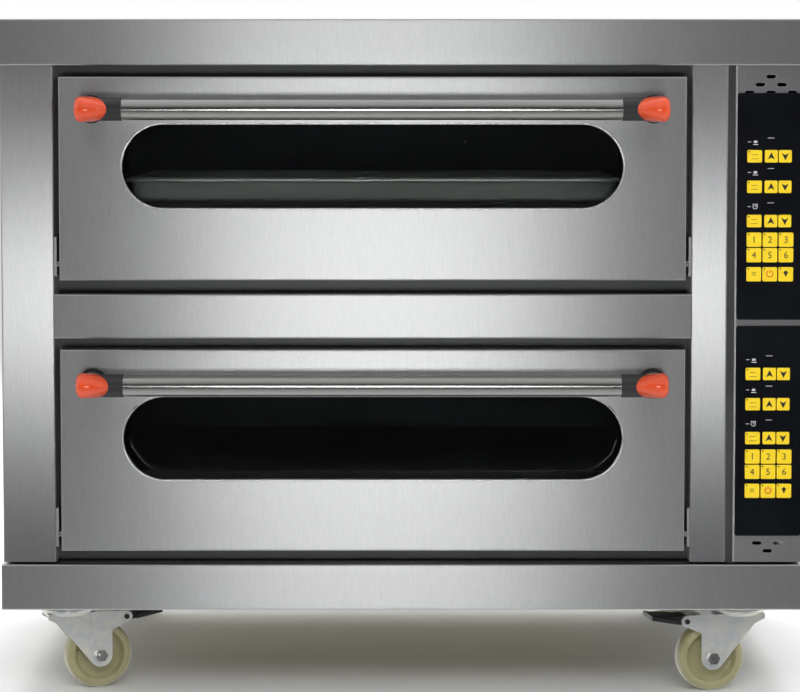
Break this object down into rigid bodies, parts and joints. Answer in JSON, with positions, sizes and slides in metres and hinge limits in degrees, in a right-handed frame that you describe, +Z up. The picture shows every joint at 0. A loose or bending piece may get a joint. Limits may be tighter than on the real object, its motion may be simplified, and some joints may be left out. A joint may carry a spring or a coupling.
{
  "type": "deck oven",
  "caption": "Two-deck electric bakery oven on swivel casters, with drop-down glazed doors, bar handles and a keypad column on the right.",
  "frame": {"origin": "on the floor under the centre of the oven's box", "axes": "+X to the right as seen from the front, +Y to the back, +Z up"},
  "size_m": [0.945, 0.7336, 0.8],
  "materials": {
    "stainless": "vertical brushed grain",
    "polished_steel": "polished",
    "galvanised": "dull zinc",
    "zinc": "zinc plated, faintly yellow",
    "frame_steel": "dark grey paint",
    "dark_steel": "heat-darkened steel",
    "stone": "baking stone",
    "wool": "mineral wool",
    "element_sheath": "oxidised sheath",
    "lamp_glass": "frosted",
    "door_glass": "dark tinted",
    "tray_steel": "satin",
    "black_plastic": "satin black",
    "orange_plastic": "gloss orange",
    "keypad_black": "glossy membrane",
    "key_yellow": "printed yellow keys",
    "board_green": "circuit board",
    "seal_rubber": "silicone",
    "nylon": "cream nylon"
  },
  "bodies": {
    "oven_body": {"base_frame": "frame_steel", "bottom_rail": "stainless", "middle_rail": "stainless", "top_rail": "stainless", "left_post": "stainless", "right_post": "stainless", "left_side_panel": "stainless", "right_side_panel": "stainless", "back_panel": "galvanised", "top_panel": "stainless", "front_plate": "stainless", "panel_screws": "zinc", "cable_gland": "black_plastic", "lower_chamber": "dark_steel", "upper_chamber": "dark_steel", "heating_elements": "element_sheath", "chamber_insulation": "wool", "hearth_stones": "stone", "chamber_lamps": "lamp_glass", "temperature_probes": "polished_steel", "baking_tray": "tray_steel", "hinge_brackets": "galvanised", "control_bulkhead": "galvanised", "control_fascia": "stainless", "keypad_membranes": "keypad_black", "key_pads": "key_yellow", "control_electronics": "board_green", "caster_plates": "zinc"},
    "lower_door": {"lower_door_skin": "stainless", "lower_door_inner_panel": "stainless", "lower_door_glass": "door_glass", "lower_door_insulation": "wool", "lower_door_seal": "seal_rubber", "lower_hinge_pins": "polished_steel", "lower_handle_tube": "polished_steel", "lower_handle_brackets": "black_plastic", "lower_handle_caps": "orange_plastic"},
    "upper_door": {"upper_door_skin": "stainless", "upper_door_inner_panel": "stainless", "upper_door_glass": "door_glass", "upper_door_insulation": "wool", "upper_door_seal": "seal_rubber", "upper_hinge_pins": "polished_steel", "upper_handle_tube": "polished_steel", "upper_handle_brackets": "black_plastic", "upper_handle_caps": "orange_plastic"},
    "front_left_fork": {"front_left_fork": "zinc", "front_left_axle": "zinc"},
    "front_left_wheel": {"front_left_wheel": "nylon"},
    "front_left_brake_pedal": {"front_left_brake_pedal": "black_plastic"},
    "front_right_fork": {"front_right_fork": "zinc", "front_right_axle": "zinc"},
    "front_right_wheel": {"front_right_wheel": "nylon"},
    "front_right_brake_pedal": {"front_right_brake_pedal": "black_plastic"},
    "rear_left_fork": {"rear_left_fork": "zinc", "rear_left_axle": "zinc"},
    "rear_left_wheel": {"rear_left_wheel": "nylon"},
    "rear_right_fork": {"rear_right_fork": "zinc", "rear_right_axle": "zinc"},
    "rear_right_wheel": {"rear_right_wheel": "nylon"}
  },
  "joints": [
    {"name": "lower_door_hinge", "type": "hinge", "parent": "oven_body", "child": "lower_door", "pos_m": [-0.0355, -0.29715, 0.195], "axis": [1, 0, 0], "range_deg": [0, 88], "stiffness_Nm_per_rad": 2, "springref_deg": -17.19},
    {"name": "upper_door_hinge", "type": "hinge", "parent": "oven_body", "child": "upper_door", "pos_m": [-0.0355, -0.29715, 0.514], "axis": [1, 0, 0], "range_deg": [0, 88], "stiffness_Nm_per_rad": 2, "springref_deg": -17.19},
    {"name": "front_left_swivel", "type": "hinge", "parent": "oven_body", "child": "front_left_fork", "pos_m": [-0.403, -0.24015, 0.0925], "axis": [0, 0, 1], "continuous": true},
    {"name": "front_left_roll", "type": "hinge", "parent": "front_left_fork", "child": "front_left_wheel", "pos_m": [-0.36917, -0.22784, 0.04], "axis": [-0.342, 0.9397, 0], "continuous": true},
    {"name": "front_left_brake", "type": "hinge", "parent": "front_left_fork", "child": "front_left_brake_pedal", "pos_m": [-0.3391, -0.21689, 0.085], "axis": [-0.342, 0.9397, 0], "range_deg": [0, 18], "stiffness_Nm_per_rad": 0.5, "springref_deg": -8.59},
    {"name": "front_right_swivel", "type": "hinge", "parent": "oven_body", "child": "front_right_fork", "pos_m": [0.403, -0.24015, 0.0925], "axis": [0, 0, 1], "continuous": true},
    {"name": "front_right_roll", "type": "hinge", "parent": "front_right_fork", "child": "front_right_wheel", "pos_m": [0.36755, -0.2464, 0.04], "axis": [0.1736, -0.9848, 0], "continuous": true},
    {"name": "front_right_brake", "type": "hinge", "parent": "front_right_fork", "child": "front_right_brake_pedal", "pos_m": [0.33603, -0.25196, 0.085], "axis": [0.1736, -0.9848, 0], "range_deg": [0, 18], "stiffness_Nm_per_rad": 0.5, "springref_deg": -8.59},
    {"name": "rear_left_swivel", "type": "hinge", "parent": "oven_body", "child": "rear_left_fork", "pos_m": [-0.403, 0.27985, 0.0925], "axis": [0, 0, 1], "continuous": true},
    {"name": "rear_left_roll", "type": "hinge", "parent": "rear_left_fork", "child": "rear_left_wheel", "pos_m": [-0.37037, 0.26464, 0.04], "axis": [0.4226, 0.9063, 0], "continuous": true},
    {"name": "rear_right_swivel", "type": "hinge", "parent": "oven_body", "child": "rear_right_fork", "pos_m": [0.403, 0.27985, 0.0925], "axis": [0, 0, 1], "continuous": true},
    {"name": "rear_right_roll", "type": "hinge", "parent": "rear_right_fork", "child": "rear_right_wheel", "pos_m": [0.37037, 0.26464, 0.04], "axis": [0.4226, -0.9063, 0], "continuous": true}
  ]
}
